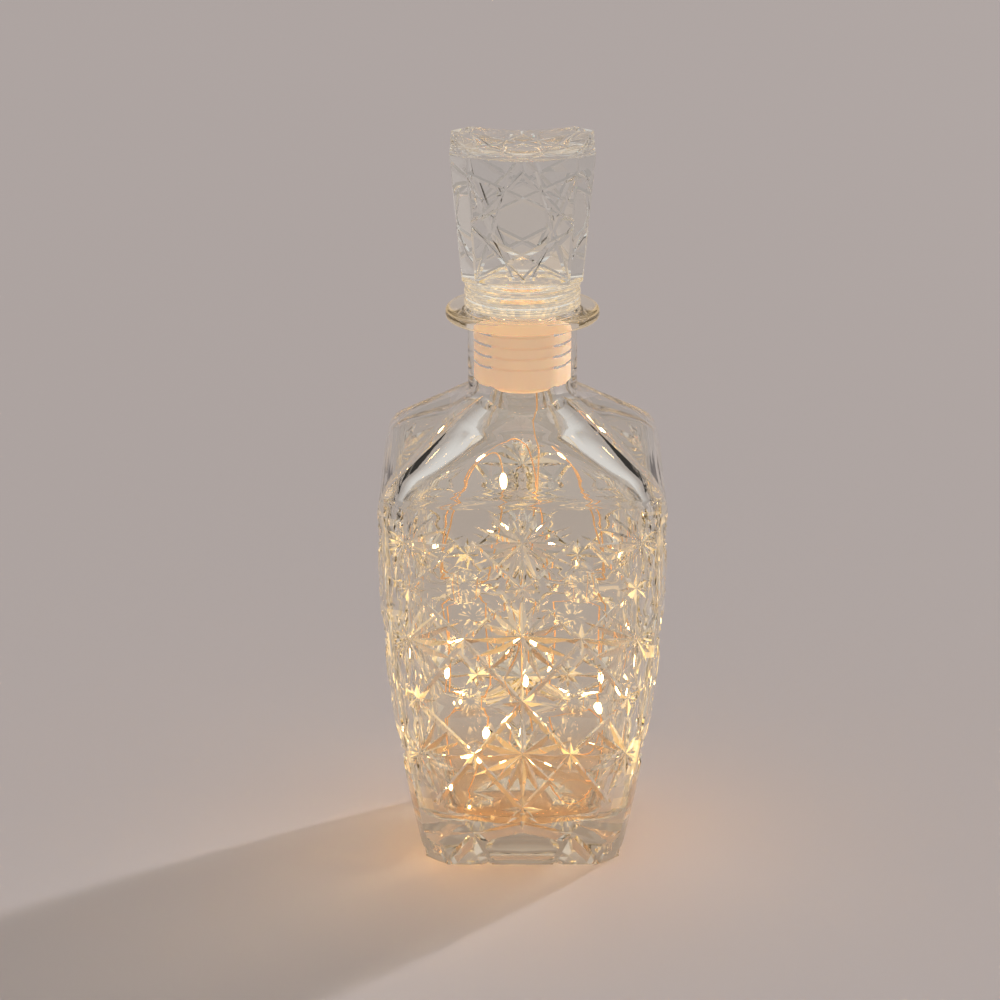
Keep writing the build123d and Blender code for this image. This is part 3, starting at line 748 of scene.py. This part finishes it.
    def places(self, rows: Sequence[tuple[float, ...]]) -> list[tuple[float, ...]]:
        """The rows and their mirror images about the face's middle."""
        mirrored = []
        for row in rows:
            mirrored.append(row)
            if len(row) == 3 and row[0]:
                mirrored.append((-row[0], *row[1:]))
            if len(row) == 4:
                mirrored.append((-row[0], row[1], -row[2], row[3]))
        return mirrored

    def stars(self, rows: Sequence[tuple[float, ...]], rays: int, notch_share: float, depth: float) -> list[Shape]:
        """Cutters for one kind of star on all faces."""
        return [
            Shape().star(rays, reach, notch_share, depth).put(self.facing(side, x, z))
            for side in Side
            for x, z, reach in self.places(rows)
        ]

    def straight_cuts(self) -> list[Shape]:
        """Cutters for the straight cuts between the small stars and round the foot."""
        cutters = []
        rows = [(row, 7.0, 2.4, 0.85) for row in self.places(self.cuts)]
        rows += [(row, 0.7, 4.5, 1.7) for row in self.places(self.foot_cuts)]
        for side in Side:
            for (x0, z0, x1, z1), shorter, width, depth in rows:
                run = Vector((x1 - x0, z1 - z0))
                turn = Matrix.Rotation(math.atan2(run.y, run.x), 4, "Z")
                wedge = Shape().wedge(run.length - shorter, width, depth)
                cutters.append(wedge.put(self.facing(side, (x0 + x1) / 2, (z0 + z1) / 2) @ turn))
        return cutters

    def painted_glint_share(self, spot: Vector, normal: Vector, area: float) -> float:
        """How much painted glint a face shows, in place of the lamps' light: cut facets get it by chance, the rim a set
        share, the hollow not at all.
        """
        chance = self.luck.random()
        if spot.z > self.rim_top - self.rim_thickness - 0.5:
            return 0.3 if math.hypot(spot.x, spot.y) > self.rim_radius - 3.0 else 0.1
        level = between(spot.z, self.painted_glint_levels)
        if max(abs(spot.x), abs(spot.y)) < self.half_at(spot.z) - self.side_wall + 0.8:
            return 0.0
        rate = self.half_at(spot.z + 0.5) - self.half_at(spot.z - 0.5)
        along = abs(spot.y) >= abs(spot.x)
        side = Vector((0.0, math.copysign(1.0, spot.y), -rate) if along else (math.copysign(1.0, spot.x), 0.0, -rate))
        cut = normal.dot(side.normalized()) < 0.994 and spot.z < self.full_height + 12.0
        return level * (0.05 + 5.0 * chance**8 * (6.0 / max(area, 6.0)) if cut else 0.03)

    def build(self) -> bpy.types.Object:
        """Makes the whole glass body."""
        levels = [4.5 * k for k in range(28)] + [125.0 + 1.3 * k for k in range(15)] + [152.0, 168.0]
        glass = Shape().lofted([self.outer_section(z) for z in levels])
        rim_low = self.rim_top - self.rim_thickness
        neck = Shape().turned(
            [
                (0.0, 149.0, 0), (20.4, 149.0, 0), (20.4, 159.0, 0), (19.4, 160.8, 0),
                (self.neck_radius, 163.4, 0), (self.neck_radius, rim_low, 2.0),
                (self.rim_radius, rim_low, 1.5), (self.rim_radius, self.rim_top, 1.7), (0.0, self.rim_top, 0),
            ]
        )
        glass.boolean([neck], "UNION").boolean([self.hollow()], "DIFFERENCE")
        glass.boolean(self.stars(self.big_stars, 16, 0.4, 2.6), "DIFFERENCE")
        glass.boolean(self.stars(self.small_stars, 8, 0.42, 1.7) + self.straight_cuts(), "DIFFERENCE")
        hollows = [Shape().ball(221.0, 1.2).put(Matrix.Rotation(math.pi, 4, "X"))]
        for side in Side:
            for x, z, reach in self.places(self.buttons):
                hollows.append(Shape().ball(15.0, reach**2 / 30.0).put(self.facing(side, x, z)))
            for x in (-15.0, 15.0):
                hollows.append(Shape().ball(14.0, 1.3, (1.0, 1.35, 1.0)).put(self.facing(side, x, 20.5)))
        glass.boolean(hollows, "DIFFERENCE")
        # Painted glints: emission on chosen faces stands in for the lamps' light caught in the cuts.
        glass.painted_glints(self.painted_glint_share)
        return dress(glass.finished("bottle_glass", 28.0), CLEAR_GLASS, "bottle", "bottle", "bottle_neck")


@dataclass
class Stopper:
    """The solid glass stopper: a flared block with a star lattice on a ringed collar."""

    rim_top: float = 193.0
    collar_radius: float = 20.0
    collar_height: float = 10.6
    waist_radius: float = 17.2
    block_base: float = 205.0
    block_top: float = 250.0
    base_half: float = 20.5
    top_half: float = 24.6
    base_corner: float = 5.0
    top_corner: float = 6.0
    band: float = 5.5
    foot_band: float = 2.2
    spigot_radius: float = 8.0
    spigot_length: float = 5.3
    lines: tuple[tuple[float, float, float, float], ...] = (
        (-1, 0, 0, 1), (0, 1, 1, 0), (1, 0, 0, -1), (0, -1, -1, 0),
        (-1, -1, -0.22, 1), (1, -1, 0.22, 1), (-1, 1, -0.22, -1), (1, 1, 0.22, -1),
        (-1, -1, 1, -0.1), (1, -1, -1, -0.1), (-1, 1, 1, 0.1), (1, 1, -1, 0.1),
    )

    def ring(self, half: float, corner: float, z: float) -> list[Point]:
        """A square with cut corners at a height."""
        near = half - corner
        points = []
        for turn in range(4):
            spin = Matrix.Rotation(turn * math.pi / 2, 2)
            for x, y in ((near, -half), (half, -near)):
                place = spin @ Vector((x, y))
                points.append((place.x, place.y, z))
        return points

    def cut(self, line: Sequence[float], side: Side) -> Shape:
        """One straight cut of the lattice on one face."""
        height = self.block_top - self.block_base
        lean = math.atan2(self.top_half - self.base_half, height)
        low, high = self.block_base + self.foot_band, self.block_top - self.band
        middle = (low + high) / 2
        half = self.base_half + (middle - self.block_base) / height * (self.top_half - self.base_half)
        tall = (high - low) / 2 / math.cos(lean)
        low_flat, high_flat = self.base_half - self.base_corner, self.top_half - self.top_corner

        def place(u: float, v: float) -> Vector:
            """A point of the face from its shares."""
            return Vector((u * (low_flat + (high_flat - low_flat) * (v + 1) / 2), v * tall))

        first, last = place(*line[:2]), place(*line[2:])
        run, spot = last - first, (first + last) / 2
        out = Vector((0.0, -math.cos(lean), -math.sin(lean)))
        frame = Matrix((Vector((1, 0, 0)), out.cross(Vector((1, 0, 0))), out)).transposed().to_4x4()
        frame.translation = Vector((0.0, -half, middle))
        local = Matrix.Translation((spot.x, spot.y, 0.0)) @ Matrix.Rotation(math.atan2(run.y, run.x), 4, "Z")
        turn = Matrix.Rotation(math.radians(side.value), 4, "Z")
        return Shape().wedge(run.length + 1.0, 1.9, 0.5).put(turn @ frame @ local)

    def build(self) -> bpy.types.Object:
        """Makes the whole stopper."""
        block = Shape().lofted(
            [
                self.ring(self.base_half, self.base_corner, self.block_base),
                self.ring(self.top_half, self.top_corner, self.block_top),
            ]
        )
        bmesh.ops.bevel(
            block.bm, geom=block.bm.edges[:], offset=0.7, segments=3, profile=0.5, affect="EDGES", material=-1
        )
        cutters = [
            Shape().ball(130.0, 0.0).put(Matrix.Translation((0, 0, self.block_top - 3.7))),
            Shape().ball(31.0, 0.0).put(Matrix.Translation((0, 0, self.block_top - 4.6))),
        ]
        for k, line in enumerate(self.lines + ((0, 1, 0, 1.25),)):
            for side in Side:
                # Cuts that met exactly would leave edges of no length
                wander = [share + 0.012 * math.sin(7 * k + 3 * i + side.value) for i, share in enumerate(line)]
                cutters.append(self.cut(wander, side))
        block.boolean(cutters, "DIFFERENCE")
        ring = self.collar_height / 3
        inner = self.collar_radius - 1.3
        outline = [(0.0, self.rim_top - self.spigot_length, 0), (self.spigot_radius, self.rim_top - self.spigot_length, 0.5)]
        outline += [(self.spigot_radius, self.rim_top, 0)]
        for k in range(3):
            z = self.rim_top + k * ring
            outline += [(self.collar_radius, z + 0.02, 1.2), (self.collar_radius, z + ring - 0.5, 1.2), (inner, z + ring, 0.2)]
        outline += [
            (self.waist_radius, self.rim_top + self.collar_height, 0.8),
            (self.waist_radius, self.block_base + 1.5, 0), (0.0, self.block_base + 1.5, 0),
        ]
        block.boolean([Shape().turned(outline, steps=96)], "UNION")
        luck = random.Random(5)
        # Painted glints on the stopper, strongest low down by the collar: emission in place of the lamps' light.
        levels = ((188.0, 0.5), (205.0, 0.4), (214.0, 0.2), (226.0, 0.08), (246.0, 0.03), (250.0, 0.03))

        def painted_glint_share(spot: Vector, normal: Vector, area: float) -> float:
            """The share of painted glint on a face, by chance drawn from its place and not from its turn."""
            chance = random.Random(f"{spot.x:.1f} {spot.y:.1f} {spot.z:.1f}").random()
            return between(spot.z, levels) * (0.1 + 2.0 * chance**4)

        block.painted_glints(painted_glint_share)
        return dress(block.finished("stopper_glass"), STOPPER_GLASS, "stopper", "stopper")


@dataclass
class Plug:
    """The ribbed translucent sleeve that grips the neck."""

    top: float = 192.96
    bottom: float = 164.6
    radius: float = 9.9
    reach: float = 10.83
    ribs: int = 4
    first: float = 8.6
    pitch: float = 3.9

    def build(self) -> bpy.types.Object:
        """Makes the sleeve with its pod bore and its socket."""
        groove = self.reach - 0.2
        outline = [(8.2, self.bottom, 0.1), (self.radius - 0.4, self.bottom, 0.3), (self.reach, self.bottom + 1.6, 0.4)]
        for k in range(self.ribs):
            z = self.bottom + self.first + k * self.pitch
            outline += [(self.reach, z - 0.5, 0.15), (groove, z, 0.2), (self.reach, z + 0.5, 0.15)]
        outline += [
            (self.reach, self.top - 1.2, 0.1), (self.reach + 1.1, self.top, 0.15),
            (8.06, self.top, 0.2), (8.06, 187.66, 0), (0.0, 187.66, 0), (0.0, 186.46, 0), (8.76, 186.46, 0),
            (8.76, self.bottom + 0.6, 0), (8.2, self.bottom + 0.6, 0),
        ]
        return dress(Shape().turned(outline, steps=96, segments=3).finished("plug_sleeve", 35.0), PLUG, "plug", "plug_seal")


@dataclass
class LightWire:
    """The loose copper wire, the drop from the pod, and its lamps."""

    diameter: float = 0.6
    drop: tuple[Point, ...] = ((4.5, -5.2, 164.58), (4.5, -5.2, 155.0), (6.0, -10.5, 145.0), (5.25, -16.25, 135.5))
    loops: tuple[Point, ...] = (
        (5.25, -16.25, 135.5), (4.5, -22.0, 126.0), (0.5, -26.5, 107.0), (-1.5, -25.5, 84.0), (3.0, -24.0, 50.0),
        (6.0, -21.0, 30.0), (15.0, -20.0, 19.0), (27.0, -20.0, 22.0), (29.0, -23.0, 40.0), (26.0, -27.0, 70.0),
        (30.0, -22.0, 101.0), (23.0, -14.0, 126.0), (15.0, -8.0, 143.0), (10.5, 4.0, 146.0), (19.0, 12.0, 131.0),
        (30.0, 17.0, 105.0), (26.0, 12.0, 70.0), (30.0, 16.0, 38.0), (27.0, 21.0, 20.0), (14.0, 27.0, 18.5),
        (8.0, 29.0, 35.0), (13.0, 26.0, 68.0), (7.0, 30.0, 100.0), (5.0, 21.0, 128.0), (-1.0, 12.0, 143.0),
        (-12.0, 8.0, 144.0), (-20.0, 13.0, 128.0), (-30.0, 18.0, 103.0), (-25.0, 14.0, 68.0), (-29.0, 19.0, 38.0),
        (-28.0, 12.0, 20.0), (-25.0, -4.0, 18.5), (-28.0, -10.0, 36.0), (-24.0, -14.0, 70.0), (-30.0, -18.0, 101.0),
        (-23.0, -15.0, 126.0), (-15.0, -10.0, 142.0), (-7.0, -16.0, 145.0), (-6.0, -25.0, 127.0),
        (-14.0, -26.0, 96.0), (-10.0, -24.0, 62.0), (-15.0, -26.0, 33.0), (-21.0, -21.0, 19.5),
    )
    lamp_runs: tuple[int, ...] = (3, 8, 13, 16, 20, 25, 28, 32, 37, 40)
    line: list[Vector] = field(default_factory=list)

    def curve(self, name: str, points: Sequence[Point], thick: bool) -> bpy.types.Object:
        """A smooth open curve through a route's bends."""
        data = bpy.data.curves.new(name, "CURVE")
        data.dimensions, data.resolution_u = "3D", 10
        spline = data.splines.new("NURBS")
        spline.points.add(len(points) - 1)
        for point, place in zip(spline.points, points):
            point.co = (*(c * MM for c in place), 1.0)
        spline.order_u = 3
        spline.use_endpoint_u = True
        if thick:
            data.bevel_depth, data.bevel_resolution, data.use_fill_caps = self.diameter / 2 * MM, 3, True
        made = bpy.data.objects.new(name, data)
        bpy.context.scene.collection.objects.link(made)
        return made

    def path(self, points: Sequence[Point]) -> list[Vector]:
        """The points along a route's curve, in metres."""
        bare = self.curve("bare_line", points, False)
        bpy.context.view_layer.update()
        mesh = bpy.data.meshes.new_from_object(bare.evaluated_get(bpy.context.evaluated_depsgraph_get()))
        found = [v.co.copy() for v in mesh.vertices]
        bpy.data.objects.remove(bare)
        return found

    def lamps(self) -> list[bpy.types.Object]:
        """The resin drops, the chips in them and the insulated tip."""
        beads, chips = Shape(), Shape()
        for run in self.lamp_runs:
            target = (Vector(self.loops[run]) + Vector(self.loops[run + 1])) / 2 * MM
            index = min(range(2, len(self.line) - 2), key=lambda k: (self.line[k] - target).length)
            along = (self.line[index + 1] - self.line[index - 1]).normalized()
            frame = along.to_track_quat("Z", "X").to_matrix().to_4x4()
            frame.translation = self.line[index] / MM
            outline = [
                (0.31, -2.1, 0), (0.5, -2.1, 0.1), (1.05, -1.1, 0.4), (1.3, 0.0, 0.5), (1.05, 1.1, 0.4),
                (0.5, 2.1, 0.1), (0.31, 2.1, 0),
            ]
            beads.join(Shape().turned(outline, steps=20, segments=2).put(frame))
            offset = Matrix.Translation((0.66, 0.0, 0.0))
            chips.join(Shape().block((0.6, 0.8, 1.6), 0.08).put(frame @ offset))
        last, before = self.line[-1], self.line[-3]
        frame = (last - before).to_track_quat("Z", "X").to_matrix().to_4x4()
        frame.translation = last / MM
        tip = Shape().turned([(0.0, 0.0, 0), (0.6, 0.0, 0.1), (0.95, 0.8, 0.3), (0.95, 2.3, 0.4), (0.0, 3.0, 0)], steps=20, segments=3)
        return [
            dress(beads.finished("lamp_beads"), BEAD_RESIN, "bottle", "led_beads"),
            dress(chips.finished("lamp_chips"), LAMP_CHIP, "bottle", "led_chips"),
            # The tip takes the bead resin and its glow, a painted glow, though it holds no chip.
            dress(tip.put(frame).finished("wire_end"), BEAD_RESIN, "bottle", "wire_tip"),
        ]

    def length(self, path: Sequence[Vector]) -> float:
        """How long a path is, in metres."""
        return sum((b - a).length for a, b in zip(path, path[1:]))

    def build(self) -> None:
        """Makes the wire in its two stretches, with its lamps."""
        self.line = self.path(self.loops)
        loops = dress(self.curve("lamp_wire", self.loops, True), COPPER, "bottle", "light_wire")
        lamps = self.lamps()
        self.length(self.line)
        route = self.path(self.drop)
        thick = self.curve("drop_line", self.drop, True)
        bpy.context.view_layer.update()
        mesh = bpy.data.meshes.new_from_object(thick.evaluated_get(bpy.context.evaluated_depsgraph_get()))
        bpy.data.objects.remove(thick)
        drop = bpy.data.objects.new("lamp_wire_drop", mesh)
        bpy.context.scene.collection.objects.link(drop)
        mesh.materials.clear()
        mesh.materials.append(COPPER.material())
        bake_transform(drop)
        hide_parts("light_wire_drop")
        self.length(route)


@dataclass
class Pod:
    """The pieces of the battery pod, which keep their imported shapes."""

    finishes: tuple[tuple[str, Finish], ...] = (
        ("pod_housing", POD), ("pod_lid", POD), ("battery_cap", POD), ("pod_o_ring", SEAL), ("circuit_board", LAMINATE),
        ("resistor", CERAMIC), ("contact_plate", CONTACT), ("contact_strip", CONTACT), ("cap_contact", CONTACT),
        ("contact_spring", SPRING), ("switch_body", SWITCH), ("switch_slider", SLIDER), ("wire_grommet", GROMMET),
        ("pod_leads", COPPER), ("battery_1", CELL), ("battery_2", CELL), ("battery_3", CELL),
    )

    def build(self, nodes: dict[str, bpy.types.Object]) -> None:
        """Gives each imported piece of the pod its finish."""
        for name, finish in self.finishes:
            nodes[name].data.materials.clear()
            nodes[name].data.materials.append(finish.material())


@dataclass
class Studio:
    """Pale floor, soft light from behind on the right, and the camera."""

    floor_colour: Point = (0.472, 0.423, 0.415)
    room_low: Point = (0.37, 0.335, 0.32)
    room_high: Point = (0.68, 0.67, 0.665)
    ambient: float = 0.56
    sun_strength: float = 1.9
    sun_angle: float = math.radians(3.0)
    sun_from: Point = (0.6457, 0.6022, 0.4695)

    def floor(self) -> None:
        """A plain floor, which isn't part of the object."""
        plane = Shape()
        bmesh.ops.create_grid(plane.bm, x_segments=1, y_segments=1, size=6000.0)
        plane.put(Matrix.Translation((0, 0, -0.1)))
        floor = plane.finished("studio_floor")
        finish = Finish("studio_floor", self.floor_colour, 0.8, grain=6.0, vary=0.015, relief=0.0)
        floor.data.materials.append(finish.material())
        floor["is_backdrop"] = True

    def world(self) -> None:
        """Even light for surfaces, and a paler top for what glass shows."""
        world = bpy.data.worlds.new("studio")
        bpy.context.scene.world = world
        shader = Shader(world)
        way = shader.node("ShaderNodeTexCoord").outputs["Generated"]
        height = Value(shader, shader.node("ShaderNodeSeparateXYZ", None, {0: way}).outputs[2])
        seen = shader.node("ShaderNodeBackground", None, {"Color": shader.ramp(height, self.room_low, self.room_high)})
        even = shader.node("ShaderNodeBackground", None, {"Color": (1.0, 0.97, 0.95, 1.0), "Strength": self.ambient})
        ray = shader.node("ShaderNodeLightPath")
        looks = [Value(shader, ray.outputs[f"Is {kind} Ray"]) for kind in ("Camera", "Glossy", "Transmission")]
        share = looks[0].most(looks[1]).most(looks[2])
        mixed = shader.node("ShaderNodeMixShader", None, {0: share, 1: even.outputs[0], 2: seen.outputs[0]})
        shader.node("ShaderNodeOutputWorld", None, {"Surface": mixed.outputs[0]})

    def sun(self) -> None:
        """Low soft light from behind on the right."""
        data = bpy.data.lights.new("key", "SUN")
        data.energy, data.angle, data.color = self.sun_strength, self.sun_angle, (1.0, 0.97, 0.94)
        data.cycles.use_multiple_importance_sampling = False
        sun = bpy.data.objects.new("key", data)
        sun.rotation_euler = Vector(self.sun_from).to_track_quat("Z", "Y").to_euler()
        bpy.context.scene.collection.objects.link(sun)

    def camera(self) -> None:
        """A long lens at the photograph's height."""
        data = bpy.data.cameras.new("camera")
        data.lens, data.sensor_width, data.shift_x, data.shift_y = 139.3, 36.0, -0.0225, -0.001
        camera = bpy.data.objects.new("camera", data)
        camera.location = (0.0, -1.2816, 0.5347)
        camera.rotation_euler = (Vector((0, 0, 0.1232)) - camera.location).to_track_quat("-Z", "Y").to_euler()
        bpy.context.scene.collection.objects.link(camera)
        bpy.context.scene.camera = camera

    def build(self) -> None:
        """Sets the stage and the light paths that faceted glass needs."""
        self.floor()
        self.world()
        self.sun()
        self.camera()
        scene = bpy.context.scene
        scene.view_settings.view_transform = "Standard"
        scene.cycles.max_bounces = 24
        scene.cycles.transmission_bounces = 24
        scene.cycles.glossy_bounces = 8
        scene.cycles.diffuse_bounces = 3
        scene.cycles.transparent_max_bounces = 24


def corners() -> list[list[float]]:
    """The lowest and highest corner of all that shows, as plain numbers."""
    return [[float(c) for c in corner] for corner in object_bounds()]


def main() -> None:
    """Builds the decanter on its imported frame."""
    logging.basicConfig(level=logging.INFO, format="%(message)s")
    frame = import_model()
    Studio().build()
    for piece in (LightWire(), Decanter(), Stopper(), Plug()):
        piece.build()
        LOG.info("built %s", type(piece).__name__)
    Pod().build(frame["nodes"])


if __name__ == "__main__":
    main()
